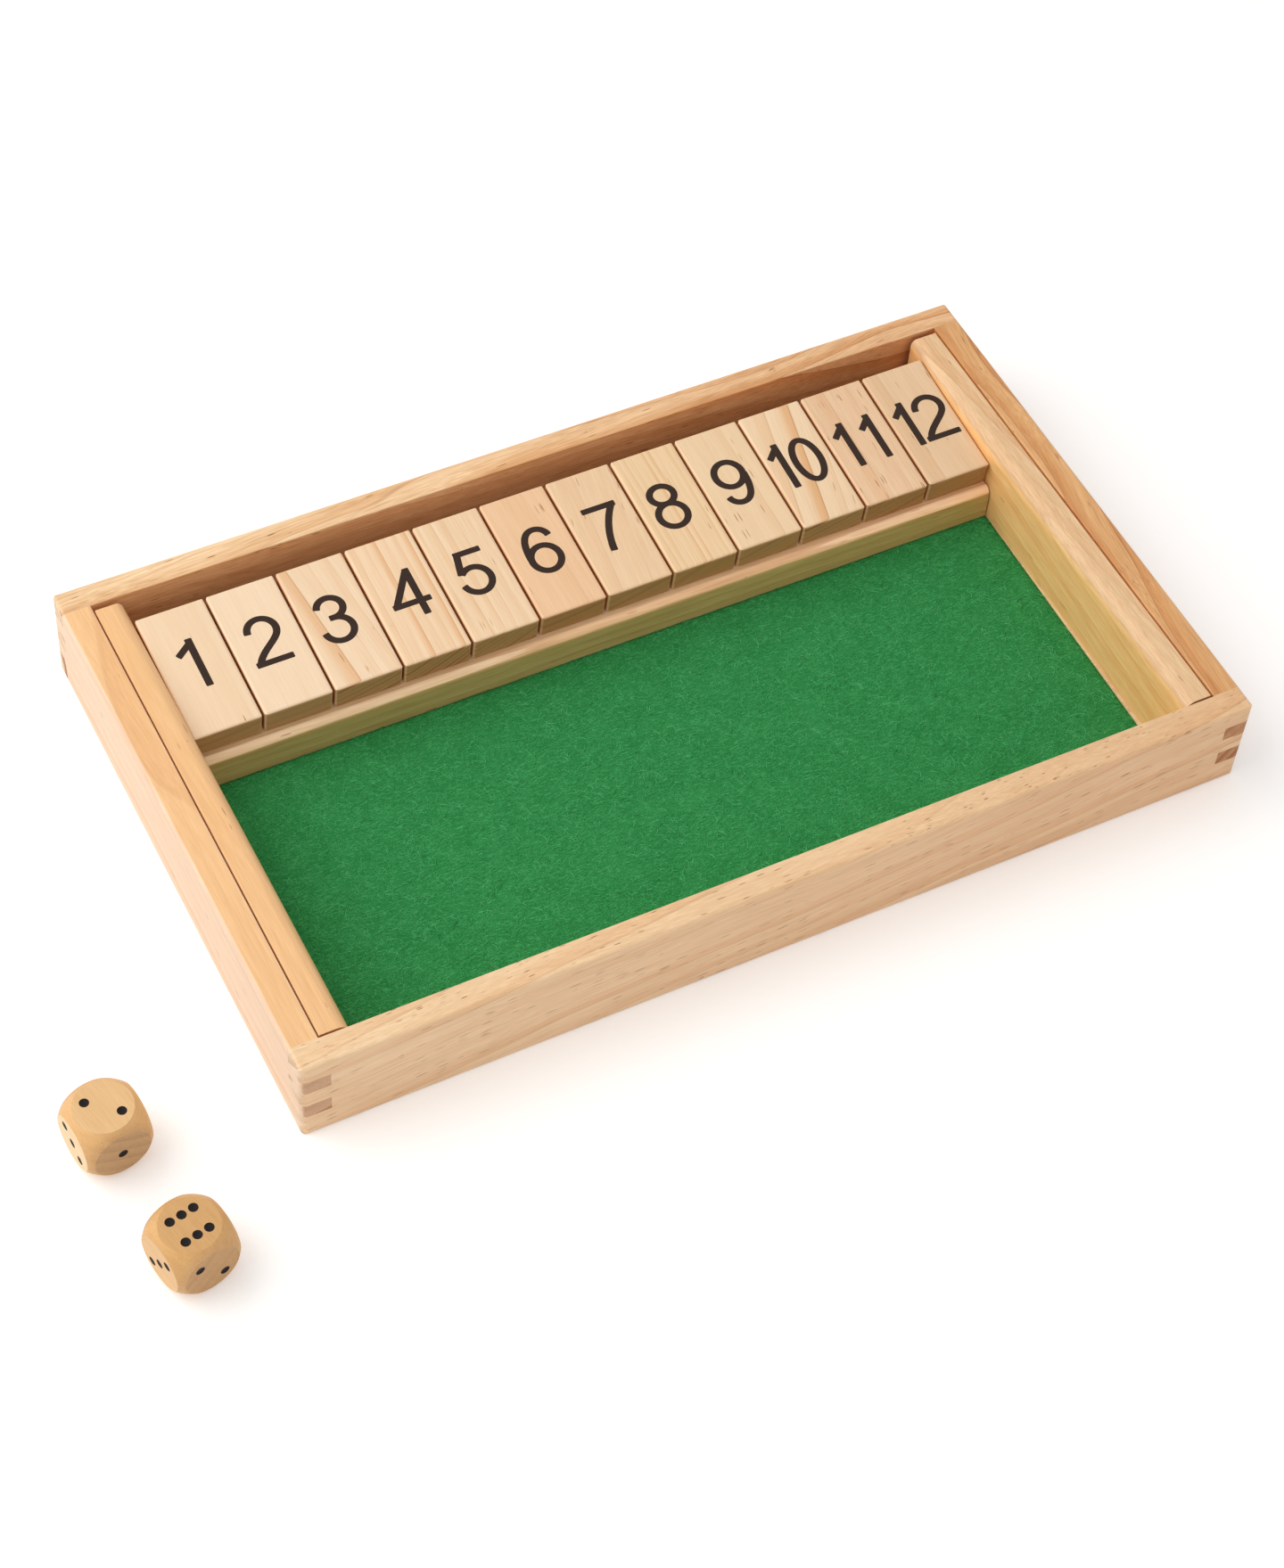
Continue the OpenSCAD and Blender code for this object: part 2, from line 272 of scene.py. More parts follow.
def softwood_figure():
    """The node group that works out the colour and relief of sawn softwood.

    Position is in millimetres with X along the grain, and End is 1 where the grain is cut across.
    """
    name = "Softwood figure"
    if name in bpy.data.node_groups:
        return bpy.data.node_groups[name]
    group = bpy.data.node_groups.new(name, "ShaderNodeTree")
    declare(group, {"Vector": "Position, Pith, Slope",
                    "Float": "End, Spacing, Rings, Wander, Streaks, Flecks, Cloud, Shift",
                    "Color": "Early wood, Late wood, Resin, End grain"},
            {"Color": "Colour", "Float": "Roughness, Height"})
    w = Wiring(group)
    given = w.add("NodeGroupInput").outputs
    place, shift = given["Position"], given["Shift"]

    # Years' rings round the pith, which slopes and wavers along the board. Each year grows darker
    # outwards, ends in a thin resinous rim and is as strong as its white noise says.
    sway = w.noise(w.shrunk(place, SWAY), 1.5, shift)
    sway = w.vector("SUBTRACT", sway.outputs["Color"], (0.5, 0.5, 0.5))
    sway = w.scaled(sway, w.times(given["Wander"], 2.0))
    run = w.scaled(given["Slope"], w.split(place)[0])
    flow = w.vector("ADD", w.vector("ADD", place, run), sway)
    off_y, off_z = w.split(w.vector("SUBTRACT", flow, given["Pith"]))[1:3]
    radius = w.math("SQRT", w.plus(w.times(off_y, off_y), w.times(off_z, off_z)))
    ring = w.math("DIVIDE", radius, given["Spacing"])
    phase = w.math("FRACT", ring)
    year = w.plus(w.math("FLOOR", ring), shift)
    vigour = w.add("ShaderNodeTexWhiteNoise", {"W": year}, noise_dimensions="1D").outputs["Value"]
    late = w.times(w.ramp(phase, 0.25, 0.9), w.ramp(phase, 0.95, 1.0, 1.0, 0.0))
    strength = w.ramp(vigour, 0.1, 0.9, 0.2, 1.0)
    band = w.times(late, strength)
    late = w.times(band, given["Rings"])
    rim = w.times(w.ramp(phase, 0.90, 0.96), w.ramp(phase, 0.98, 1.0, 1.0, 0.0))
    rim = w.times(w.times(rim, strength), given["Rings"])

    # Fine fibres and broader streaks along the grain
    fine = w.mottle(flow, FIBRES, 3.0, shift, 0.6)
    broad = w.mottle(flow, STREAKS, 2.0, shift)
    patch = w.mottle(place, PATCHES, 2.0, shift)
    tone = w.plus(w.times(w.minus(fine, 0.5), 0.5), w.times(w.minus(broad, 0.5), 0.22))
    tone = w.times(tone, given["Streaks"])
    tone = w.plus(tone, w.times(w.minus(patch, 0.5), given["Cloud"]))

    # Resin flecks: short dark dashes that come in drifts
    bed = w.vector("ADD", w.shrunk(flow, FLECKS), w.scaled((11.3, 7.7, 5.1), shift))
    cells = w.add("ShaderNodeTexVoronoi", {"Vector": bed, "Scale": 1.0, "Randomness": 1.0})
    drift = w.mottle(place, DRIFTS, 2.0, shift)
    chance = w.times(given["Flecks"], w.ramp(drift, 0.42, 0.66, 0.08, 0.6))
    pick = w.split(cells.outputs["Color"])
    chosen = w.math("LESS_THAN", pick[0], chance)
    core = w.ramp(cells.outputs["Distance"], 0.2, 0.38, 1.0, 0.0)
    depth = w.ramp(pick[1], 0.0, 1.0, 0.45, 1.0)
    fleck = w.times(w.times(core, chosen), depth)

    # Colour: a streak changes blue and green more than red, and wood cut across shows its rings
    # and pores as dark as resin
    colour = w.mix(late, given["Early wood"], given["Late wood"])
    colour = w.mix(w.times(rim, 0.5), colour, given["Resin"])
    colour = w.mix(fleck, colour, given["Resin"])
    shade = w.plus(1.0, tone)
    warm = w.plus(1.0, w.times(tone, 1.5))
    warmer = w.plus(1.0, w.times(tone, 2.1))
    colour = w.mix(1.0, colour, w.join(shade, warm, warmer), "MULTIPLY")
    pores = w.mottle(place, PORES, 2.0, shift)
    cut_across = w.mix(1.0, colour, given["End grain"], "MULTIPLY")
    ring_share = w.math("MULTIPLY_ADD", given["Rings"], 0.9, 0.15)
    cut_across = w.mix(w.times(band, ring_share), cut_across, given["Resin"])
    cut_across = w.mix(w.ramp(pores, 0.45, 0.75, 0.0, 0.25), cut_across, given["Resin"])
    colour = w.mix(given["End"], colour, cut_across)

    # Relief and gloss
    height = w.plus(w.times(fine, 0.7), w.times(late, 0.25))
    height = w.minus(height, w.times(fleck, 0.1))
    rough = w.plus(0.34, w.times(fine, 0.16))
    rough = w.plus(rough, w.times(given["End"], 0.15))
    w.add("NodeGroupOutput", {"Colour": colour, "Roughness": rough, "Height": height})
    return group


def softwood(name, cut, colours, middle, grain, across, relief=0.03):
    """A softwood material for a board whose grain runs along grain, through the point middle.

    across is the board's second direction; colours are early wood, late wood, resin, end grain.
    """
    material, w, shader = new_material(name)
    third = grain.cross(across)
    turn = Matrix((grain, across, third)).transposed()
    coordinates = w.add("ShaderNodeTexCoord")
    place = w.add("ShaderNodeMapping",
                  {"Vector": coordinates.outputs["Object"], "Location": middle,
                   "Rotation": turn.to_euler("XYZ"), "Scale": (MM, MM, MM)},
                  vector_type="TEXTURE")
    lean = [w.vector("DOT_PRODUCT", coordinates.outputs["Normal"], axis, output="Value")
            for axis in (grain, across, third)]
    facing, aside, above = (w.math("ABSOLUTE", share) for share in lean)
    end = w.ramp(facing, 0.55, 0.9)
    figure = w.add("ShaderNodeGroup", node_tree=softwood_figure())
    early, late, resin, end_grain = colours
    early, late = (tinted(wood, cut.tint) for wood in (early, late))
    near_end = opaque(tinted(end_grain, cut.end))
    w.fill(figure, {
        "Position": place.outputs[0], "End": end, "Pith": (0.0, *cut.pith),
        "Slope": (0.0, cut.slant, cut.dip), "Early wood": opaque(early),
        "Late wood": opaque(late), "Resin": opaque(resin),
        "End grain": w.mix(w.ramp(lean[0], -0.1, 0.1), near_end, opaque(end_grain)),
    })
    for trait in ("spacing", "rings", "wander", "streaks", "flecks", "cloud", "shift"):
        w.feed(figure.inputs[trait.capitalize()], getattr(cut, trait))
    colour = figure.outputs["Colour"]
    flat = w.math("MAXIMUM", w.math("MAXIMUM", facing, aside), above)
    # These tints mostly paint light and shade: far a fall of light along the grain, sides light
    # and shade on the faces that look across, edges light on rounded edges; each board's entry
    # says which
    painted_shading_tints = (
        (w.ramp(w.split(place.outputs[0])[0], -PAINTED_FALLOFF_REACH, PAINTED_FALLOFF_REACH), cut.far),
        (w.ramp(aside, 0.85, 0.995), cut.sides),
        (w.ramp(flat, 0.9, 0.99, 1.0, 0.0), cut.edges),
    )
    for share, tint in painted_shading_tints:
        if tint != PLAIN:
            colour = w.mix(share, colour, w.mix(1.0, colour, opaque(tint), "MULTIPLY"))
    w.fill(shader, {"Base Color": colour, "Roughness": figure.outputs["Roughness"]})
    bumped(w, shader, figure.outputs["Height"], relief)
    return material


# ---------------------------------------------------------------- dark paints

# A coat of paint that varies in spots. spots: their sizes in mm; detail: of their edges; thin: how
# many times lighter the paint is where it lies thin; high: the noise at which it is thinnest;
# share: how much of the thin colour shows there; rough and gloss: of the surface; relief: in mm.
Coat = namedtuple("Coat", "spots detail thin high share rough gloss relief")
INK = Coat((0.4, 7, 0.4), 3.0, 1.4, 0.8, 0.6, 0.6, 0.1, 0.02)
PIP_PAINT = Coat((0.5, 0.5, 0.5), 2.0, 2.0, 0.75, 0.5, 0.5, 0.15, 0.03)


def uneven_paint(name, colour, coat):
    """A dark paint that lets some of the ground through where it lies thin."""
    material, w, shader = new_material(name)
    spots = w.mottle(w.place_in_mm(), coat.spots, coat.detail, 1.0)
    thin = tinted(colour, (coat.thin, coat.thin, coat.thin))
    share = w.ramp(spots, 0.45, coat.high, 0.0, coat.share)
    w.fill(shader, {"Base Color": w.mix(share, opaque(colour), opaque(thin)),
                    "Roughness": coat.rough, "Specular IOR Level": coat.gloss})
    bumped(w, shader, spots, coat.relief)
    return material


# ---------------------------------------------------------------- settings

def colour_setting(name, description, red, green, blue):
    """A colour among the settings, given as it looks."""
    return FloatVectorProperty(name=name, description=description, subtype="COLOR",
                               default=paint(red, green, blue))


def length_setting(name, description, millimetres):
    """A length among the settings, given in millimetres."""
    return FloatProperty(name=name, description=description, unit="LENGTH",
                         default=millimetres * MM)


class TrayFinish(bpy.types.PropertyGroup):
    """Woods of the tray."""
    early_wood: colour_setting("Early wood", "Pale wood between the rings", 243, 206, 160)
    late_wood: colour_setting("Late wood", "Darker wood of the rings", 226, 168, 108)
    resin: colour_setting("Resin", "Short dark flecks of resin", 154, 92, 50)
    end_grain: colour_setting("End grain", "Tint of wood cut across the grain", 213, 198, 196)
    panel_wood: colour_setting("Panel wood", "Face veneer of the floor panel", 228, 214, 182)


class TileFinish(bpy.types.PropertyGroup):
    """Wood and numerals of the tiles."""
    early_wood: colour_setting("Early wood", "Pale wood between the rings", 246, 218, 180)
    late_wood: colour_setting("Late wood", "Darker wood of the rings", 228, 172, 112)
    resin: colour_setting("Resin", "Short dark flecks of resin", 160, 100, 54)
    end_grain: colour_setting("End grain", "Tint of wood cut across the grain", 202, 176, 144)
    # Painted shade on the tiles' long sides, which face the dark gaps between the tiles
    painted_gap_shade: colour_setting("Sawn side", "Tint of the tiles' long sides", 206, 160, 122)
    ink: colour_setting("Ink", "Printing ink of the numerals", 58, 44, 37)
    numeral_stem: length_setting("Stem", "Thickness of a numeral's upright strokes", 2.55)
    numeral_bar: length_setting("Bar", "Thickness of a numeral's level strokes", 2.25)
    ink_thickness: length_setting("Ink thickness", "How far the ink stands on the wood", 0.04)


class FeltFinish(bpy.types.PropertyGroup):
    """Felt on the floor of the tray."""
    dark: colour_setting("Dark green", "Felt between the fibres", 28, 117, 53)
    light: colour_setting("Light green", "Felt where fibres lie on top", 80, 179, 107)
    waviness: length_setting("Waviness", "Height of the felt's unevenness", 0.12)
    edge_drop: length_setting("Edge drop", "How far the felt sinks at its cut edges", 0.5)
    edge_spread: length_setting(
        "Edge spread", "How far its back edge is pushed up to the divider", 0.3)
    fibre_length: length_setting("Fibre length", "Length of a loose fibre", 4.2)
    fibre_width: length_setting("Fibre width", "Thickness of a loose fibre", 0.17)
    fibre_density: FloatProperty(
        name="Fibre density", description="Loose fibres per square metre", default=230000.0)
    seed: IntProperty(name="Seed", description="Picks another scatter of fibres", default=4)


class DiceFinish(bpy.types.PropertyGroup):
    """Wood and pips of the dice."""
    early_wood: colour_setting("Early wood", "Pale wood of the dice", 234, 190, 136)
    late_wood: colour_setting("Late wood", "Darker bands of the dice", 218, 164, 104)
    end_grain: colour_setting("End grain", "Tint of the faces cut across the grain", 222, 212, 212)
    pip_paint: colour_setting("Pip paint", "Paint in the pips", 24, 17, 17)
    pip_diameter: length_setting("Pip diameter", "Width of a painted pip", 3.24)
    pip_spacing: length_setting("Pip spacing", "Distance from one row of pips to the next", 4.16)
    pip_depth: length_setting("Pip depth", "Depth of the drilled pip", 0.4)
    paint_depth: length_setting("Paint depth", "Depth of the paint's surface", 0.24)


class RodFinish(bpy.types.PropertyGroup):
    """Drawn steel of the hinge rod."""
    steel: colour_setting("Steel", "Colour of the drawn steel", 190, 188, 184)


class StudioSettings(bpy.types.PropertyGroup):
    """Floor, light and camera."""
    floor: colour_setting("Floor", "Colour of the floor", 250, 249, 248)
    key_power: FloatProperty(
        name="Key power", description="Power of the main lamp", unit="POWER", default=15.5)
    card_power: FloatProperty(
        name="Card power", description="Power of the low light in front", unit="POWER",
        default=0.4)
    ambient: FloatProperty(
        name="Ambient", description="Strength of the light from all round", default=0.61)
    lens: FloatProperty(
        name="Lens", description="Focal length for a 36 mm film, in millimetres", default=77.6)
    eye: FloatVectorProperty(
        name="Eye", description="Where the camera stands", subtype="TRANSLATION",
        default=(-0.37304, -0.61353, 0.89551))
    target: FloatVectorProperty(
        name="Target", description="What the camera looks at", subtype="TRANSLATION",
        default=(-0.01417, -0.02414, 0.0))
    roll: FloatProperty(
        name="Roll", description="Turn of the camera about its view", subtype="ANGLE",
        default=0.097)


class GameSettings(bpy.types.PropertyGroup):
    """All settings of the game."""
    tray: PointerProperty(type=TrayFinish)
    tiles: PointerProperty(type=TileFinish)
    felt: PointerProperty(type=FeltFinish)
    dice: PointerProperty(type=DiceFinish)
    rod: PointerProperty(type=RodFinish)
    studio: PointerProperty(type=StudioSettings)


# ---------------------------------------------------------------- studio

# A soft box: where it stands, what it shines at, its width and height, and its colour
SoftBox = namedtuple("SoftBox", "place aim size colour")
KEY_LAMP = SoftBox((-1.0, 0.5, 1.15), (0.0, 0.0, 0.0), (1.6, 1.6), (1.0, 0.985, 0.96))
FRONT_CARD = SoftBox((0.1, -0.85, 0.06), (0.05, 0.0, 0.02), (1.1, 0.12), (1.0, 1.0, 1.0))

# How far the floor reaches each way from the part, in metres, and the light it sends the camera
FLOOR_REACH, FLOOR_LIFT = 4.0, 0.25

# The signs of X and Y at four corners, anticlockwise from the left front
FOUR_CORNERS = ((-1, -1), (1, -1), (1, 1), (-1, 1))


def soft_lamp(name, box, power):
    """Puts up a soft box with the given power."""
    lamp = bpy.data.lights.new(name, "AREA")
    lamp.shape = "RECTANGLE"
    lamp.size, lamp.size_y = box.size
    lamp.energy = power
    lamp.color = box.colour
    holder = linked(name, lamp)
    holder.location = box.place
    direction = Vector(box.aim) - Vector(box.place)
    holder.rotation_euler = direction.to_track_quat("-Z", "Y").to_euler()


def studio_world(strength):
    """Even white light, seen by the camera and in reflections as plain white."""
    world = bpy.data.worlds.new("Studio")
    bpy.context.scene.world = world
    world.use_nodes = True
    world.node_tree.nodes.clear()
    w = Wiring(world.node_tree)
    rays = w.add("ShaderNodeLightPath")
    seen = w.math("MAXIMUM", rays.outputs["Is Camera Ray"], rays.outputs["Is Glossy Ray"])
    level = w.ramp(seen, 0.0, 1.0, strength, 1.0)
    background = w.add("ShaderNodeBackground", {"Color": (1.0, 1.0, 1.0, 1.0), "Strength": level})
    w.add("ShaderNodeOutputWorld", {"Surface": background.outputs[0]})


def floor_material(colour):
    """Pale matt floor that the camera sees as white where no shadow falls."""
    material, w, shader = new_material("studio_floor")
    w.fill(shader, {"Base Color": opaque(colour), "Roughness": 0.9, "Specular IOR Level": 0.1})
    rays = w.add("ShaderNodeLightPath")
    lift = w.add("ShaderNodeEmission", {
        "Color": (1.0, 1.0, 1.0, 1.0),
        "Strength": w.times(rays.outputs["Is Camera Ray"], FLOOR_LIFT)})
    both = w.add("ShaderNodeAddShader", {0: shader.outputs[0], 1: lift.outputs[0]})
    output = next(n for n in w.tree.nodes if n.type == "OUTPUT_MATERIAL")
    w.feed(output.inputs["Surface"], both.outputs[0])
    return material


class GAME_OT_set_studio(bpy.types.Operator):
    """Makes the floor, the light and the camera"""
    bl_idname = "dice_game.set_studio"
    bl_label = "Set studio"

    def execute(self, context):
        settings = context.scene.dice_game.studio
        scene = context.scene
        scene.view_settings.view_transform = "Standard"
        mesh = bpy.data.meshes.new("floor")
        corners = [Vector((x, y, 0.0)) * FLOOR_REACH for x, y in FOUR_CORNERS]
        mesh.from_pydata(corners, [], [(0, 1, 2, 3)])
        mesh.materials.append(floor_material(settings.floor))
        linked("floor", mesh)
        studio_world(settings.ambient)
        soft_lamp("key", KEY_LAMP, settings.key_power)
        soft_lamp("front card", FRONT_CARD, settings.card_power)
        camera = bpy.data.cameras.new("camera")
        camera.lens = settings.lens
        camera.sensor_width = 36.0
        holder = linked("camera", camera)
        back = (Vector(settings.eye) - Vector(settings.target)).normalized()
        right = Vector((0, 0, 1)).cross(back).normalized()
        up = back.cross(right)
        cosine, sine = math.cos(settings.roll), math.sin(settings.roll)
        tilted_right = cosine * right + sine * up
        tilted_up = -sine * right + cosine * up
        turn = Matrix((tilted_right, tilted_up, back)).transposed().to_4x4()
        holder.matrix_world = Matrix.Translation(settings.eye) @ turn
        scene.camera = holder
        return {"FINISHED"}


# ---------------------------------------------------------------- tray

X_AXIS, Y_AXIS, Z_AXIS = Vector((1, 0, 0)), Vector((0, 1, 0)), Vector((0, 0, 1))

# Tint of both long rails' end grain on the left outer face: painted sheen, as pale as the
# painted sheen of the left wall beside it
PAINTED_SHEEN_ON_RAIL_ENDS = (1.47, 1.92, 2.38)

TRAY_BOARDS = {
    # node: (grain, across, cut)
    # far darkens both long rails towards their right ends: a painted fall of the lamp's light,
    # which comes from the left
    "front_rail": (X_AXIS, Y_AXIS, Cut(
        8.0, (40.0, 84.0), 0.0, -0.11, 0.36, 5.0, 0.9, 0.50, 0.14, 2.0,
        tint=(1.03, 1.03, 1.06), far=(0.93, 0.86, 0.80), sides=(1.0, 0.99, 1.02), end=PAINTED_SHEEN_ON_RAIL_ENDS)),
    # Its sides tint darkens and reddens the faces that look front and back: painted shade on the
    # inner face, which lies deep behind the tiles
    "back_rail": (X_AXIS, Y_AXIS, Cut(
        5.0, (60.0, -46.0), -0.06, -0.03, 0.85, 14.0, 1.6, 0.14, 0.22, 7.0,
        tint=(1.02, 1.0, 0.99), far=(0.91, 0.80, 0.72), sides=(1.05, 0.86, 0.73), end=PAINTED_SHEEN_ON_RAIL_ENDS)),
    # Its tint makes the outer face pale and bluish: a painted sheen of the lamp on the left. Its
    # sides tint takes the top back to orange wood.
    "left_end_wall": (Y_AXIS, Z_AXIS, Cut(
        6.0, (-84.0, 20.0), 0.01, 0.02, 0.35, 6.0, 0.7, 0.05, 0.06, 13.0,
        tint=(1.01, 1.05, 1.28), sides=(1.03, 0.85, 0.58), end=(1.12, 1.10, 0.95))),
    "right_end_wall": (Y_AXIS, Z_AXIS, Cut(
        6.0, (-60.0, 46.0), 0.03, -0.08, 1.0, 16.0, 1.6, 0.18, 0.16, 21.0,
        tint=(0.85, 0.65, 0.45), end=(1.07, 1.12, 1.15))),
    "left_side_rail": (Y_AXIS, Z_AXIS, Cut(
        6.0, (-90.0, 8.0), 0.01, 0.02, 0.45, 5.0, 0.7, 0.05, 0.08, 31.0,
        tint=(1.03, 0.885, 0.72))),
    # Its sides tint brightens the faces that look left and right: painted light on the inner face,
    # which the lamp on the left lights
    "right_side_rail": (Y_AXIS, X_AXIS, Cut(
        6.0, (52.0, 40.0), 0.03, 0.06, 0.38, 2.0, 1.2, 0.07, 0.12, 43.0,
        tint=(0.95, 0.895, 0.85), sides=(1.28, 1.17, 0.90))),
    # The divider's tints paint light and shade: sides darkens and greens its flat front and back
    # faces, a painted shade with green light from the felt; edges lightens its rounded top, a
    # painted highlight; far lightens it towards the right, so its left end carries painted shade.
    "divider_rail": (X_AXIS, Y_AXIS, Cut(
        3.0, (38.0, -44.0), 0.01, 0.01, 0.45, 1.5, 1.2, 0.08, 0.10, 53.0,
        tint=(0.92, 1.0, 1.06), far=(1.18, 1.10, 1.10), sides=(0.73, 0.725, 0.48),
        edges=(1.38, 1.30, 1.34))),
}


# The floor panel's face, and the tint of its rings
VENEER = Cut(16.0, (0.0, -210.0), 0.02, 0.01, 0.4, 16.0, 1.1, 0.02, 0.12, 61.0)
VENEER_RINGS = (0.84, 0.76, 0.64)


def middle_of(node):
    """The middle of a node's box."""
    low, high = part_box(node)
    return (low + high) / 2


class GAME_OT_finish_tray(bpy.types.Operator):
    """Gives the rails, walls and the divider their pine"""
    bl_idname = "dice_game.finish_tray"
    bl_label = "Finish tray"

    def execute(self, context):
        tray = context.scene.dice_game.tray
        for node, (grain, across, cut) in TRAY_BOARDS.items():
            colours = (tray.early_wood, tray.late_wood, tray.resin, tray.end_grain)
            put_material(node, softwood(f"{node}_pine", cut, colours, middle_of(node), grain,
                                        across))
        return {"FINISHED"}


class GAME_OT_finish_panel(bpy.types.Operator):
    """Gives the floor panel its plain veneer"""
    bl_idname = "dice_game.finish_panel"
    bl_label = "Finish floor panel"

    def execute(self, context):
        tray = context.scene.dice_game.tray
        darker = tinted(tray.panel_wood, VENEER_RINGS)
        colours = (tray.panel_wood, darker, tray.resin, tray.end_grain)
        put_material("bottom_panel", softwood("bottom_panel_veneer", VENEER, colours,
                                              middle_of("bottom_panel"), X_AXIS, Y_AXIS))
        return {"FINISHED"}


# ---------------------------------------------------------------- felt

def felt_corners(spread):
    """The felt's four top corners, anticlockwise from the left front, the back pair spread out."""
    mesh = frame["nodes"]["felt_mat"].data
    top = max(v.co.z for v in mesh.vertices)
    points = [v.co.copy() for v in mesh.vertices if top - v.co.z < 1e-6]
    corners = [max(points, key=lambda p, s=s: p.x * s[0] + p.y * s[1]) for s in FOUR_CORNERS]
    return [*corners[:2], *(p + spread * Y_AXIS for p in corners[2:])]


def across_corners(corners, u, v):
    """The point at shares u and v between four corners."""
    front = corners[0].lerp(corners[1], u)
    back = corners[3].lerp(corners[2], u)
    return front.lerp(back, v)


def felt_mesh(corners, thickness, waviness, edge_drop, step=1.6 * MM):
    """The felt as one closed sheet with a gently uneven top that sinks at its cut edges."""
    columns = round((corners[1] - corners[0]).length / step)
    rows = round((corners[3] - corners[0]).length / step)
    mesh = bmesh.new()

    def layer(rise):
        grid = []
        for j in range(rows + 1):
            for i in range(columns + 1):
                point = across_corners(corners, i / columns, j / rows)
                at_edge = i in (0, columns) or j in (0, rows)
                grid.append(mesh.verts.new(point + Vector((0, 0, rise(point, at_edge)))))
        return grid

    def uneven(point, at_edge):
        swell = noise.noise(Vector((point.x, point.y, 0.0)) / (9 * MM))
        pile = noise.noise(Vector((point.x, point.y, 0.02)) / (2.2 * MM))
        return waviness * (0.7 * swell + 0.5 * pile - 0.6) - (edge_drop if at_edge else 0.0)

    top = layer(uneven)
    bottom = layer(lambda point, at_edge: -thickness)
    stride = columns + 1
    for j in range(rows):
        for i in range(columns):
            a = j * stride + i
            quad = (a, a + 1, a + 1 + stride, a + stride)
            mesh.faces.new([top[k] for k in quad])
            mesh.faces.new([bottom[k] for k in reversed(quad)])
    edge = list(range(0, columns))
    edge += [j * stride + columns for j in range(rows)]
    edge += [rows * stride + i for i in range(columns, 0, -1)]
    edge += [j * stride for j in range(rows, 0, -1)]
    for a, b in zip(edge, edge[1:] + edge[:1]):
        mesh.faces.new((bottom[a], bottom[b], top[b], top[a]))
    for face in mesh.faces:
        face.smooth = True
    return plain_mesh("felt", mesh)


# The felt's matted threads: in how many headings they lie, the first heading in degrees, and
# their length and width in mm
THREAD_LAYERS, FIRST_HEADING = 5, 11
THREAD_LENGTH, THREAD_WIDTH = 3.4, 0.28


def felt_material(felt):
    """Matted green wool: a cloudy base with pale threads that lie every way."""
    material, w, shader = new_material("green_felt")
    place = w.place_in_mm()
    clouds = w.mottle(place, (9, 9, 9), 3.0, 1.0)
    grains = w.mottle(place, (0.5, 0.5, 0.5), 3.0, 2.0)
    threads = 0.0
    for layer in range(THREAD_LAYERS):
        heading = math.radians(180 / THREAD_LAYERS * layer + FIRST_HEADING)
        lie = w.add("ShaderNodeMapping",
                    {"Vector": place, "Rotation": (0.0, 0.0, heading),
                     "Scale": (1 / THREAD_LENGTH, 1 / THREAD_WIDTH, 1.0)})
        strands = w.noise(lie.outputs[0], 1.0, 10.0 + layer).outputs["Fac"]
        threads = w.math("MAXIMUM", threads, w.ramp(strands, 0.58, 0.68))
    amount = w.plus(w.times(threads, 0.42), w.times(w.ramp(grains, 0.3, 0.75), 0.45))
    amount = w.plus(amount, w.times(w.minus(clouds, 0.5), 0.3))
    colour = w.mix(w.ramp(amount, -0.1, 0.95), opaque(felt.dark), opaque(felt.light))
    w.fill(shader, {"Base Color": colour, "Roughness": 0.95, "Specular IOR Level": 0.1,
                    "Sheen Weight": 0.12, "Sheen Roughness": 0.5,
                    "Sheen Tint": opaque(felt.light)})
    bumped(w, shader, w.plus(w.times(threads, 0.5), grains), 0.13)
    return material


# The fibres' shade changes from place to place over about this many mm
SHADE_LENGTH = 20 / 9


def fibre_material(felt):
    """Single green fibres, each a little lighter or darker."""
    material, w, shader = new_material("green_fibre")
    shade = w.mottle(w.place_in_mm(), (SHADE_LENGTH, SHADE_LENGTH, SHADE_LENGTH), 1.0, 5.0)
    middle = [(d + l) / 2 for d, l in zip(felt.dark, felt.light)]
    bright = tinted(felt.light, (1.45, 1.2, 1.35))
    colour = w.mix(w.ramp(shade, 0.25, 0.65), opaque(middle), opaque(bright))
    w.fill(shader, {"Base Color": colour, "Roughness": 0.85, "Specular IOR Level": 0.15})
    return material


# Loose fibres: how far they may tilt in radians, how far they keep from the felt's edges and how
# deep their middles lie in it
FIBRE_TILT, FIBRE_MARGIN, FIBRE_SINK = 0.10, 1.2 * MM, 0.06 * MM


def strewn(w, material, copies, *further):
    """Ends a tree with copies of a shape at points, made one mesh with a material.

    copies are the inputs of the node that makes them; further are nodes to pass through.
    """
    mesh = w.add("GeometryNodeInstanceOnPoints", copies).outputs[0]
    for kind in ("GeometryNodeRealizeInstances", *further):
        mesh = w.add(kind, {"Geometry": mesh}).outputs[0]
    mesh = w.add("GeometryNodeSetMaterial", {"Geometry": mesh, "Material": material}).outputs[0]
    w.add("NodeGroupOutput", {0: mesh})
    return w.tree


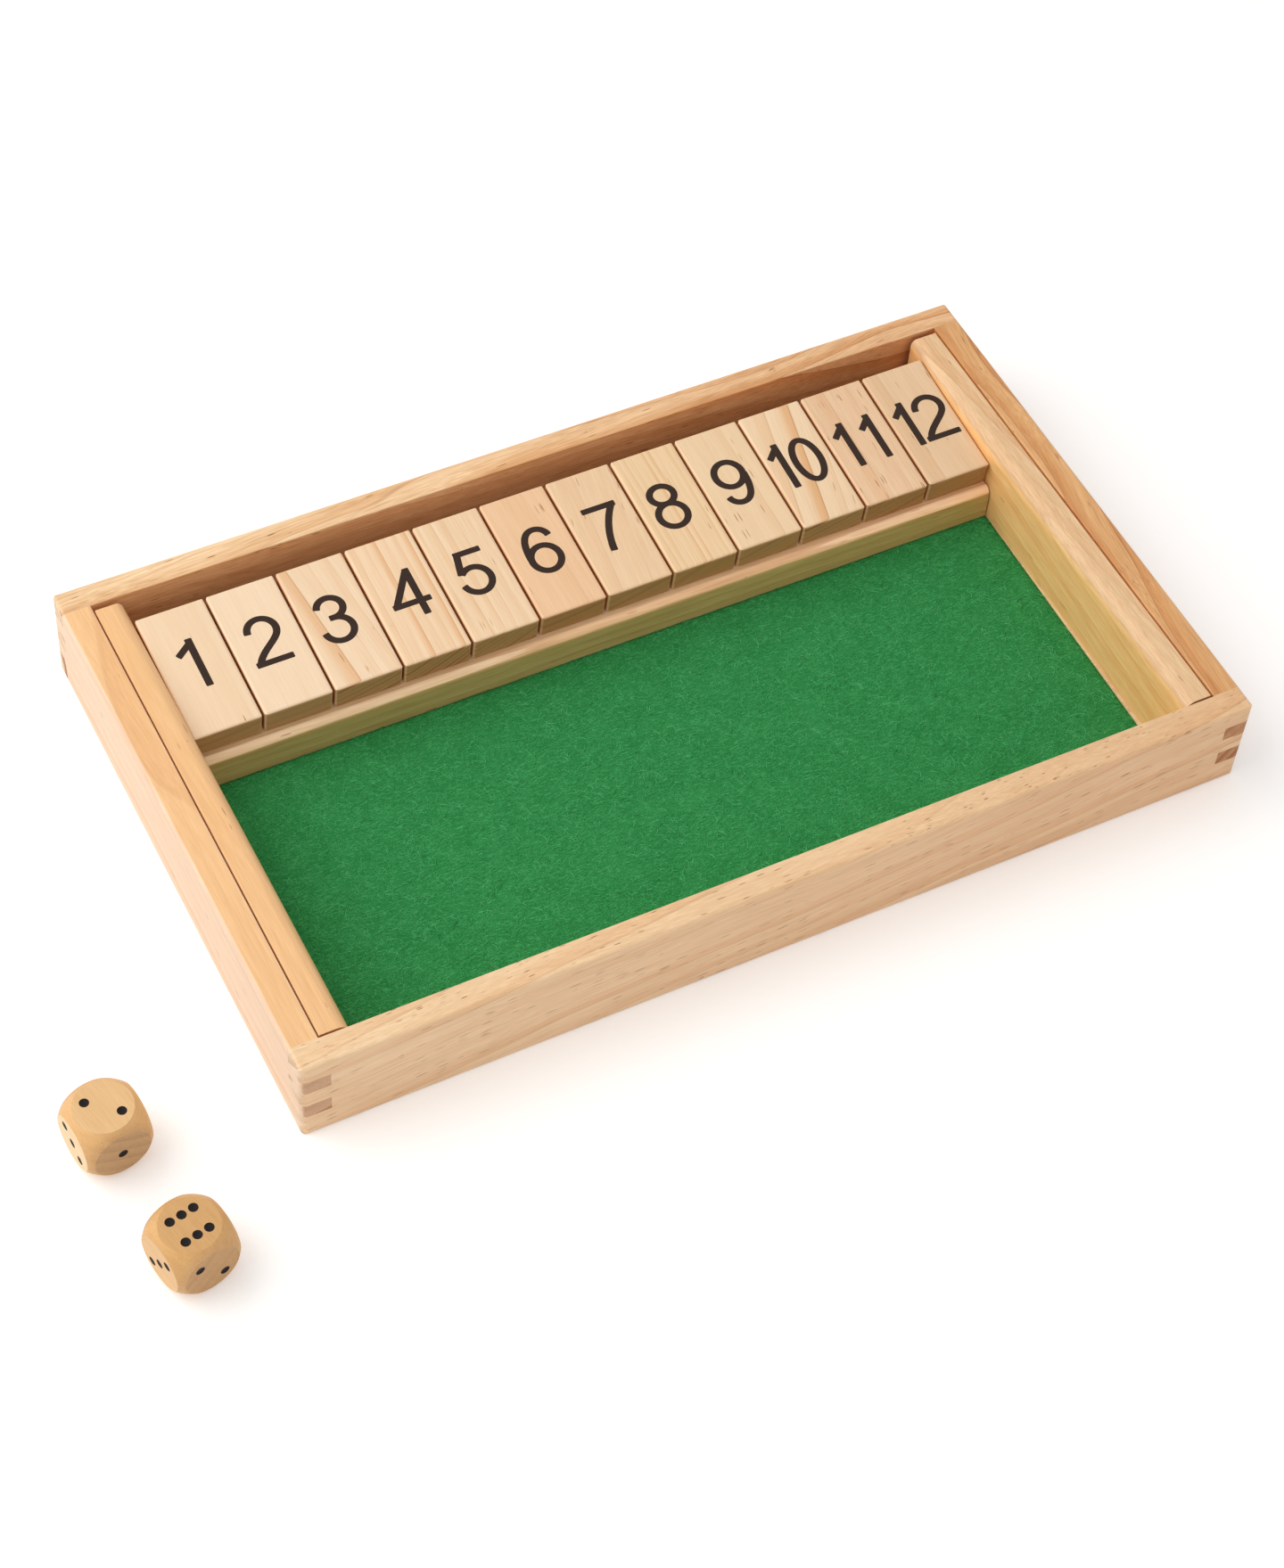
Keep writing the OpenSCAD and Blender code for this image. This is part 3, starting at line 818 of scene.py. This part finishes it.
def fibre_tree(material):
    """Geometry Nodes that scatter short bent fibres over the faces they are given."""
    tree = bpy.data.node_groups.new("Loose fibres", "GeometryNodeTree")
    declare(tree, {"Geometry": "Geometry", "Float": "Density, Length, Width", "Int": "Seed"},
            {"Geometry": "Geometry"})
    w = Wiring(tree)
    given = w.add("NodeGroupInput").outputs
    points = w.add("GeometryNodeDistributePointsOnFaces",
                   {"Mesh": given["Geometry"], "Density": given["Density"],
                    "Seed": given["Seed"]})
    half = w.times(given["Length"], 0.5)
    bend = w.times(given["Length"], 0.3)
    spine = w.add("GeometryNodeCurveQuadraticBezier",
                  {"Resolution": 3, "Start": w.join(w.times(half, -1.0), 0.0, 0.0),
                   "Middle": w.join(0.0, bend, 0.0), "End": w.join(half, 0.0, 0.0)})
    profile = w.add("GeometryNodeCurvePrimitiveCircle",
                    {"Resolution": 3, "Radius": w.times(given["Width"], 0.6)})
    fibre = w.add("GeometryNodeCurveToMesh",
                  {"Curve": spine.outputs[0], "Profile Curve": profile.outputs[0],
                   "Fill Caps": True})
    turn, size = (w.add("FunctionNodeRandomValue", data_type="FLOAT_VECTOR") for _ in range(2))
    w.fill(turn, {0: (-FIBRE_TILT, -FIBRE_TILT, 0.0), 1: (FIBRE_TILT, FIBRE_TILT, math.tau),
                  "Seed": given["Seed"]})
    w.fill(size, {0: (0.5, 0.2, 1.0), 1: (1.3, 1.3, 1.0), "Seed": w.plus(given["Seed"], 1.0)})
    return strewn(w, material,
                  {"Points": points.outputs["Points"], "Instance": fibre.outputs[0],
                   "Rotation": turn.outputs[0], "Scale": size.outputs[0]})


def grown(base, tree, values):
    """Runs a node tree on a mesh and returns the plain mesh that it makes."""
    carrier = linked(base.name, base)
    modifier = carrier.modifiers.new("grow", "NODES")
    modifier.node_group = tree
    sockets = {item.name: item.identifier for item in tree.interface.items_tree
               if item.item_type == "SOCKET" and item.in_out == "INPUT"}
    for label, value in values.items():
        modifier[sockets[label]] = value
    bpy.context.view_layer.update()
    depsgraph = bpy.context.evaluated_depsgraph_get()
    mesh = bpy.data.meshes.new_from_object(carrier.evaluated_get(depsgraph))
    carrier.modifiers.remove(modifier)
    bpy.data.objects.remove(carrier)
    if not mesh.polygons:
        raise RuntimeError(f"{tree.name} made nothing")
    return mesh


class GAME_OT_lay_felt(bpy.types.Operator):
    """Lays the felt on the floor of the tray, with its loose fibres"""
    bl_idname = "dice_game.lay_felt"
    bl_label = "Lay felt"

    def execute(self, context):
        felt = context.scene.dice_game.felt
        low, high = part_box("felt_mat")
        corners = felt_corners(felt.edge_spread)
        mesh = felt_mesh(corners, high.z - low.z, felt.waviness, felt.edge_drop)
        body = body_of("felt_mat")
        mat = new_piece("felt_lining", mesh, felt_material(felt), body)
        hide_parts("felt_mat")

        bed = bpy.data.meshes.new("fibre_bed")
        inset = [p - Vector((x * FIBRE_MARGIN, y * FIBRE_MARGIN, FIBRE_SINK))
                 for p, (x, y) in zip(corners, FOUR_CORNERS)]
        bed.from_pydata(inset, [], [(0, 1, 2, 3)])
        fibres = grown(bed, fibre_tree(fibre_material(felt)),
                       {"Density": felt.fibre_density, "Length": felt.fibre_length,
                        "Width": felt.fibre_width, "Seed": felt.seed})
        pile = new_piece("felt_fibres", fibres, None, body)
        return {"FINISHED"}


# ---------------------------------------------------------------- hinge rod

class GAME_OT_finish_rod(bpy.types.Operator):
    """Gives the hinge rod its drawn steel"""
    bl_idname = "dice_game.finish_rod"
    bl_label = "Finish hinge rod"

    def execute(self, context):
        steel = context.scene.dice_game.rod.steel
        material, w, shader = new_material("drawn_steel")
        place = w.place_in_mm()
        lines = w.mottle(place, (30, 0.12, 0.12), 3.0, 3.0)
        tarnish = w.ramp(w.mottle(place, (14, 5, 5), 3.0, 6.0), 0.4, 0.7, 0.0, 0.6)
        worn = tinted(steel, (0.72, 0.72, 0.72))
        w.fill(shader, {"Base Color": w.mix(tarnish, opaque(steel), opaque(worn)),
                        "Metallic": 1.0, "Roughness": w.ramp(lines, 0.2, 0.8, 0.22, 0.42)})
        bumped(w, shader, lines, 0.01)
        put_material("hinge_rod", material)
        return {"FINISHED"}


# ---------------------------------------------------------------- tiles

# Each tile's tint is partly its own tone and partly a painted fall of the lamp's light, which
# grows darker towards tile 12 at the right end
TILE_CUTS = (
    # spacing, pith, slant, dip, rings, wander, streaks, flecks, cloud, shift, tint
    Cut(3.6, (-17.2, -148.9), 0.01, 0.004, 0.10, 0.5, 0.30, 0.03, 0.05, 1.0, (1.02, 0.99, 1.0)),
    Cut(3.8, (-8.0, -149.3), 0.01, 0.004, 0.10, 0.5, 0.30, 0.02, 0.06, 2.0, (1.03, 1.01, 1.05)),
    Cut(2.4, (-48.1, -145.0), 0.109, 0.0, 0.68, 0.2, 0.45, 0.08, 0.05, 3.0, (1.02, 0.99, 1.01)),
    Cut(2.0, (-89.6, -145.0), 0.0, 0.0, 0.65, 0.15, 0.5, 0.07, 0.05, 18.0, (1.02, 0.96, 0.94)),
    Cut(2.2, (-83.7, -145.0), 0.02, 0.0, 0.50, 0.15, 0.6, 0.10, 0.06, 109.0, (1.0, 0.95, 0.92)),
    Cut(3.4, (-24.9, -146.6), 0.02, 0.005, 0.25, 0.4, 0.45, 0.08, 0.08, 6.0, (0.98, 0.83, 0.74)),
    Cut(3.6, (-44.7, -145.6), -0.12, 0.005, 0.2, 0.4, 0.5, 0.20, 0.08, 7.0, (0.97, 0.885, 0.82)),
    Cut(1.2, (-86.7, -145.0), 0.00, 0.0, 0.50, 0.12, 0.5, 0.13, 0.08, 39.0, (0.99, 0.92, 0.83)),
    Cut(2.8, (-53.1, -139.2), 0.01, 0.0, 0.20, 0.3, 0.4, 0.12, 0.05, 9.0, (0.985, 0.93, 0.87)),
    Cut(2.4, (-39.9, -145.0), -0.20, 0.0, 0.80, 0.2, 0.5, 0.06, 0.06, 56.0, (1.01, 0.97, 0.95)),
    Cut(3.0, (-51.4, -145.0), 0.0, 0.0, 0.42, 0.4, 0.7, 0.28, 0.10, 78.0, (0.95, 0.835, 0.775)),
    Cut(3.2, (-39.8, -146.5), 0.02, 0.0, 0.20, 0.4, 0.5, 0.13, 0.06, 12.0, (0.915, 0.82, 0.75)),
)

TileSeat = namedtuple("TileSeat", "middle across along up length")


def tile_seat(node):
    """Middle of a tile's top face, the tile's own directions there, and its length.

    The top is the largest face that looks up, and leans forward when the tile rests.
    """
    mesh = frame["nodes"][node].data
    up = max((p for p in mesh.polygons if p.normal.z > 0.9), key=lambda p: p.area).normal.copy()
    across = X_AXIS.copy()
    along = up.cross(across)
    points = [v.co for v in mesh.vertices]
    high = max(p.dot(up) for p in points)
    lengths = [p.dot(along) for p in points]
    sides = [p.x for p in points]
    middle = (across * (min(sides) + max(sides)) / 2 + up * high
              + along * (min(lengths) + max(lengths)) / 2)
    return TileSeat(middle, across, along, up, max(lengths) - min(lengths))


class GAME_OT_finish_tiles(bpy.types.Operator):
    """Gives every tile its own cut of pale pine"""
    bl_idname = "dice_game.finish_tiles"
    bl_label = "Finish tiles"

    def execute(self, context):
        tiles = context.scene.dice_game.tiles
        colours = (tiles.early_wood, tiles.late_wood, tiles.resin, tiles.end_grain)
        for node, cut in zip(TILES, TILE_CUTS, strict=True):
            seat = tile_seat(node)
            # The sides tint paints shade on the faces that look into the gaps between tiles
            cut = cut._replace(sides=tuple(tiles.painted_gap_shade))
            put_material(node, softwood(f"{node}_pine", cut, colours, seat.middle, seat.along,
                                        seat.across))
        return {"FINISHED"}


# ---------------------------------------------------------------- numerals

def arc(x, y, width, height, start, stop, step=9.0):
    """Points of an elliptical arc round (x, y), from start to stop degrees."""
    count = math.ceil(abs(stop - start) / step)
    angles = [math.radians(start + (stop - start) * i / count) for i in range(count + 1)]
    return [(x + width * math.cos(a), y + height * math.sin(a)) for a in angles]


def swing(first, first_pull, last_pull, last, count=14):
    """Points of a cubic curve from first to last."""
    points = []
    for i in range(count + 1):
        t = i / count
        weights = ((1 - t) ** 3, 3 * t * (1 - t) ** 2, 3 * t * t * (1 - t), t ** 3)
        corners = (first, first_pull, last_pull, last)
        points.append(tuple(sum(k * p[axis] for k, p in zip(weights, corners)) for axis in (0, 1)))
    return points


def flagged_one(flag):
    """The strokes of a 1: its stem and the flag, which reaches out to the left."""
    return [[(0, 0), (0, 19.5)], [(-flag, 13.9), (0.35, 18.1)]]


# Strokes of each numeral in millimetres: x from its middle, y up from its foot. A stroke that
# ends where it starts is a closed loop.
STROKES = {
    "2": [arc(-0.1, 13.75, 4.95, 4.85, 178, -15)
          + swing((4.6, 12.2), (3.7, 8.8), (-3.9, 5.9), (-5.6, 1.1))[1:],
          [(-6.9, 1.1), (5.9, 1.1)]],
    "3": [arc(-0.8, 14.85, 4.5, 4.1, 170, -90), [(-2.4, 10.75), (-0.8, 10.75)],
          arc(-1.2, 5.95, 5.1, 4.8, 90, -174)],
    "4": [[(3.7, 0), (3.7, 19.4)], [(-6.2, 5.75), (7.2, 5.75)], [(-5.0, 6.0), (3.3, 18.2)]],
    "5": [[(-3.9, 18.1), (5.6, 18.1)], [(-2.75, 18.4), (-4.7, 9.9)],
          arc(-0.5, 6.45, 5.2, 5.3, 138, -167)],
    "6": [arc(0.6, 14.6, 4.25, 4.2, 8, 90)
          + swing((0.6, 18.8), (-3.3, 18.8), (-5.15, 14.4), (-5.15, 7.5))[1:],
          arc(0.05, 6.45, 5.2, 5.35, 0, 360)],
    "7": [[(-5.6, 18.25), (6.7, 18.25)],
          swing((5.5, 18.0), (2.2, 14.0), (-1.2, 7.4), (-1.95, 0))],
    "8": [arc(-1.65, 15.0, 4.4, 3.9, 0, 360), arc(-1.6, 6.1, 5.15, 5.0, 0, 360)],
    "9": [arc(-0.95, 13.5, 5.1, 5.4, 0, 360),
          swing((4.3, 12.4), (4.3, 5.4), (2.6, 1.1), (-1.3, 1.1))
          + arc(-1.3, 5.2, 4.1, 4.1, -90, -169)[1:]],
    "0": [arc(0, 9.8, 4.6, 8.85, 0, 360)],
}
STROKES["1"] = flagged_one(5.4)
STROKES["narrow 1"] = flagged_one(3.9)

# For each tile, its numerals as (strokes, x of their middle, distance of their foot from the
# tile's back end), in millimetres
NUMERALS = (
    [("1", 1.15, 33.3)], [("2", 0.0, 33.6)], [("3", 0.0, 34.75)], [("4", 0.0, 34.2)],
    [("5", 0.0, 34.4)], [("6", 0.0, 35.1)], [("7", 0.0, 34.5)], [("8", 0.0, 34.8)],
    [("9", 0.0, 34.0)], [("narrow 1", -5.65, 34.4), ("0", 3.05, 34.85)],
    [("narrow 1", -4.7, 34.6), ("narrow 1", 5.9, 34.6)],
    [("narrow 1", -5.5, 34.55), ("2", 3.95, 34.5)],
)


# A stroke's tip: how far it stands beyond the last full width, in mm, and its share of that width
TIP_REACH, TIP_WIDTH = 0.25, 0.75

# Points nearer than this are one point, in mm
SAME_POINT = 1e-5


def softened(rim, inner):
    """The narrower rim that ends a stroke a little beyond rim, away from the rim inner."""
    middle = (Vector(rim[0]) + Vector(rim[1])) / 2
    outward = middle - (Vector(inner[0]) + Vector(inner[1])) / 2
    tip = middle + TIP_REACH * outward.normalized()
    return tuple(tuple(tip + (Vector(p) - middle) * TIP_WIDTH) for p in rim)


def brush(points, stem, bar):
    """Quads that widen a stroke's points, thicker where the stroke is upright."""
    closed = math.dist(points[0], points[-1]) < SAME_POINT
    line = points[:-1] if closed else points
    last = len(line) - 1
    rims = []
    for i, (x, y) in enumerate(line):
        before = line[i - 1] if closed or i > 0 else line[i]
        after = line[(i + 1) % len(line)] if closed or i < last else line[i]
        run, rise = after[0] - before[0], after[1] - before[1]
        length = math.hypot(run, rise)
        run, rise = run / length, rise / length
        half = math.hypot(stem * rise, bar * run) / 2
        rims.append(((x - rise * half, y + run * half), (x + rise * half, y - run * half)))
    if not closed:
        rims = [softened(rims[0], rims[1]), *rims, softened(rims[-1], rims[-2])]
    pairs = zip(rims, rims[1:] + rims[:1]) if closed else zip(rims, rims[1:])
    return [(a[0], a[1], b[1], b[0]) for a, b in pairs]


def merged_outline(quads):
    """One flat mesh without overlaps that covers all the quads: its points and triangles."""
    corners = [Vector(p) for quad in quads for p in quad]
    faces = [list(range(4 * i, 4 * i + 4)) for i in range(len(quads))]
    inside_only = 1
    points, _, triangles, _, _, sources = delaunay_2d_cdt(corners, [], faces, inside_only,
                                                          SAME_POINT)
    return points, [triangle for triangle, source in zip(triangles, sources) if source]


def inked_mesh(name, shapes, seat, thickness):
    """Numerals as thin solids of ink on a tile's top face."""
    mesh = bmesh.new()
    for points, triangles in shapes:
        verts = [mesh.verts.new((*p, 0.0)) for p in points]
        for triangle in triangles:
            mesh.faces.new([verts[k] for k in triangle])
    bmesh.ops.recalc_face_normals(mesh, faces=mesh.faces)
    for face in mesh.faces:
        if face.normal.z < 0:
            face.normal_flip()
    bmesh.ops.dissolve_limit(mesh, angle_limit=0.001, verts=mesh.verts, edges=mesh.edges)
    lifted = bmesh.ops.extrude_face_region(mesh, geom=mesh.faces[:])
    tops = [v for v in lifted["geom"] if isinstance(v, bmesh.types.BMVert)]
    bmesh.ops.translate(mesh, vec=(0, 0, thickness / MM), verts=tops)
    bmesh.ops.recalc_face_normals(mesh, faces=mesh.faces)
    bmesh.ops.triangulate(mesh, faces=mesh.faces)
    turn = Matrix((seat.across, seat.along, seat.up)).transposed().to_4x4()
    place = Matrix.Translation(seat.middle) @ turn @ Matrix.Scale(MM, 4)
    bmesh.ops.transform(mesh, matrix=place, verts=mesh.verts)
    return plain_mesh(name, mesh)


class GAME_OT_print_numerals(bpy.types.Operator):
    """Prints the number of each tile on its top face"""
    bl_idname = "dice_game.print_numerals"
    bl_label = "Print numerals"

    def execute(self, context):
        tiles = context.scene.dice_game.tiles
        stem, bar = tiles.numeral_stem / MM, tiles.numeral_bar / MM
        ink = uneven_paint("numeral_ink", tiles.ink, INK)
        for node, numerals in zip(TILES, NUMERALS, strict=True):
            seat = tile_seat(node)
            back_end = seat.length / MM / 2
            shapes = []
            for numeral, x, foot in numerals:
                quads = [quad for stroke in STROKES[numeral] for quad in brush(stroke, stem, bar)]
                points, triangles = merged_outline(quads)
                shapes.append(([(p.x + x, p.y + back_end - foot) for p in points], triangles))
            number = node.removeprefix("tile_")
            mesh = inked_mesh(f"numeral_{number}", shapes, seat, tiles.ink_thickness)
            new_piece(f"numeral_{number}", mesh, ink, body_of(node))
        return {"FINISHED"}


# ---------------------------------------------------------------- dice

# The sides tints make each die's faces that look left and right paler and bluer: a painted sheen
# of the lamp on the left
DIE_CUTS = (
    Cut(4.5, (30.0, -62.0), 0.10, 0.05, 0.05, 0.8, 0.5, 0.02, 0.08, 71.0,
        tint=(0.99, 0.985, 0.93), sides=(1.16, 1.34, 1.66), edges=(1.0, 0.92, 0.82),
        end=(1.08, 1.18, 1.2)),
    Cut(4.0, (-48.0, -50.0), 0.05, 0.08, 0.10, 0.8, 0.6, 0.03, 0.10, 83.0,
        tint=(0.82, 0.73, 0.56), sides=(1.26, 1.38, 1.66), edges=(1.10, 1.10, 1.10),
        end=(1.26, 1.42, 1.68)),
)

# The values on each die: (value, turn to the face, turn of the pattern), in degrees
TO_TOP, TO_BOTTOM, TO_LEFT = (0, 0, 0), (180, 0, 0), (0, -90, 0)
TO_RIGHT, TO_FRONT, TO_BACK = (0, 90, 0), (90, 0, 0), (-90, 0, 0)
DIE_FACES = (
    ((2, TO_TOP, 0), (5, TO_BOTTOM, 0), (3, TO_LEFT, 90),
     (4, TO_RIGHT, 0), (1, TO_FRONT, 0), (6, TO_BACK, 0)),
    ((6, TO_TOP, 90), (1, TO_BOTTOM, 0), (3, TO_LEFT, 0),
     (4, TO_RIGHT, 0), (2, TO_FRONT, 0), (5, TO_BACK, 0)),
)


def pip_pattern(value):
    """Places of the pips of one value, in steps of the pip spacing."""
    one, two = [(0, 0)], [(-1, 1), (1, -1)]
    four = two + [(1, 1), (-1, -1)]
    six = four + [(-1, 0), (1, 0)]
    return {1: one, 2: two, 3: one + two, 4: four, 5: one + four, 6: six}[value]


def die_turn(node):
    """How far a die is turned about the upright, from its largest upright face on the right."""
    mesh = frame["nodes"][node].data
    side = max((p for p in mesh.polygons if abs(p.normal.z) < 0.01 and p.normal.x > 0.7),
               key=lambda p: p.area)
    return math.atan2(side.normal.y, side.normal.x)


def euler_turn(degrees):
    """The turn by angles about X, then Y, then Z."""
    x, y, z = (math.radians(d) for d in degrees)
    return Matrix.Rotation(z, 4, "Z") @ Matrix.Rotation(y, 4, "Y") @ Matrix.Rotation(x, 4, "X")


def pip_places(node, faces, spacing):
    """Middle and outward direction of every pip of a die."""
    low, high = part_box(node)
    half = (high.z - low.z) / 2
    die = Matrix.Translation((low + high) / 2) @ Matrix.Rotation(die_turn(node), 4, "Z")
    places = []
    for value, face_turn, pattern_turn in faces:
        turn = die @ euler_turn(face_turn) @ Matrix.Rotation(math.radians(pattern_turn), 4, "Z")
        outward = turn.to_3x3() @ Z_AXIS
        for x, y in pip_pattern(value):
            places.append((turn @ Vector((x * spacing, y * spacing, half)), outward))
    return places


def pip_tree(material):
    """Geometry Nodes that put a shallow dish of paint at every point they are given."""
    tree = bpy.data.node_groups.new("Painted pips", "GeometryNodeTree")
    declare(tree, {"Geometry": "Geometry", "Float": "Radius, Drilled depth, Paint depth"},
            {"Geometry": "Geometry"})
    w = Wiring(tree)
    given = w.add("NodeGroupInput").outputs
    ball = w.add("GeometryNodeMeshUVSphere", {"Segments": 24, "Rings": 14, "Radius": 1.0})
    x, y, z = w.split(w.add("GeometryNodeInputPosition").outputs[0])
    bowl = w.minus(w.plus(w.times(x, x), w.times(y, y)), 1.0)
    upper = w.math("GREATER_THAN", z, 0.0)
    depth = w.plus(w.times(upper, given["Paint depth"]),
                   w.times(w.minus(1.0, upper), given["Drilled depth"]))
    place = w.join(w.times(x, given["Radius"]), w.times(y, given["Radius"]), w.times(bowl, depth))
    dish = w.add("GeometryNodeSetPosition", {"Geometry": ball.outputs["Mesh"], "Position": place})
    outward = w.add("GeometryNodeInputNamedAttribute", {"Name": "outward"},
                    data_type="FLOAT_VECTOR")
    turn = w.add("FunctionNodeAlignRotationToVector", {"Vector": outward.outputs["Attribute"]},
                 axis="Z")
    return strewn(w, material,
                  {"Points": given["Geometry"], "Instance": dish.outputs[0],
                   "Rotation": turn.outputs[0]}, "GeometryNodeSetShadeSmooth")


class GAME_OT_finish_dice(bpy.types.Operator):
    """Gives the dice their honey-coloured wood"""
    bl_idname = "dice_game.finish_dice"
    bl_label = "Finish dice"

    def execute(self, context):
        dice = context.scene.dice_game.dice
        tray = context.scene.dice_game.tray
        colours = (dice.early_wood, dice.late_wood, tray.resin, dice.end_grain)
        for node, cut in zip(DICE, DIE_CUTS, strict=True):
            turn = Matrix.Rotation(die_turn(node), 3, "Z")
            put_material(node, softwood(f"{node}_wood", cut, colours, middle_of(node),
                                        turn @ Y_AXIS, turn @ X_AXIS, relief=0.02))
        return {"FINISHED"}


class GAME_OT_paint_pips(bpy.types.Operator):
    """Paints the drilled pips of both dice"""
    bl_idname = "dice_game.paint_pips"
    bl_label = "Paint pips"

    def execute(self, context):
        dice = context.scene.dice_game.dice
        tree = pip_tree(uneven_paint("pip_paint", dice.pip_paint, PIP_PAINT))
        for node, faces in zip(DICE, DIE_FACES, strict=True):
            places = pip_places(node, faces, dice.pip_spacing)
            points = bpy.data.meshes.new("pip_places")
            points.from_pydata([place for place, _ in places], [], [])
            outward = points.attributes.new("outward", "FLOAT_VECTOR", "POINT")
            for item, (_, direction) in zip(outward.data, places):
                item.vector = direction
            mesh = grown(points, tree,
                         {"Radius": dice.pip_diameter / 2, "Drilled depth": dice.pip_depth,
                          "Paint depth": dice.paint_depth})
            new_piece(f"{node}_pips", mesh, None, body_of(node))
        return {"FINISHED"}


# ---------------------------------------------------------------- add-on

STEPS = (GAME_OT_set_studio, GAME_OT_finish_tray, GAME_OT_finish_panel, GAME_OT_lay_felt,
         GAME_OT_finish_rod, GAME_OT_finish_tiles, GAME_OT_print_numerals, GAME_OT_finish_dice,
         GAME_OT_paint_pips)


class GAME_PT_panel(bpy.types.Panel):
    """Steps that finish the game, in order"""
    bl_label = "Flip-tile dice game"
    bl_idname = "GAME_PT_panel"
    bl_space_type = "VIEW_3D"
    bl_region_type = "UI"
    bl_category = "Dice game"

    def draw(self, context):
        for step in STEPS:
            self.layout.operator(step.bl_idname)


CLASSES = (TrayFinish, TileFinish, FeltFinish, DiceFinish, RodFinish, StudioSettings,
           GameSettings, *STEPS, GAME_PT_panel)


def register():
    for cls in CLASSES:
        bpy.utils.register_class(cls)
    bpy.types.Scene.dice_game = PointerProperty(type=GameSettings)


def unregister():
    del bpy.types.Scene.dice_game
    for cls in reversed(CLASSES):
        bpy.utils.unregister_class(cls)


def main():
    register()
    bpy.ops.dice_game.set_studio()
    bpy.ops.dice_game.finish_tray()
    bpy.ops.dice_game.finish_panel()
    bpy.ops.dice_game.lay_felt()
    bpy.ops.dice_game.finish_rod()
    bpy.ops.dice_game.finish_tiles()
    bpy.ops.dice_game.print_numerals()
    bpy.ops.dice_game.finish_dice()
    bpy.ops.dice_game.paint_pips()


if __name__ == "__main__":
    main()
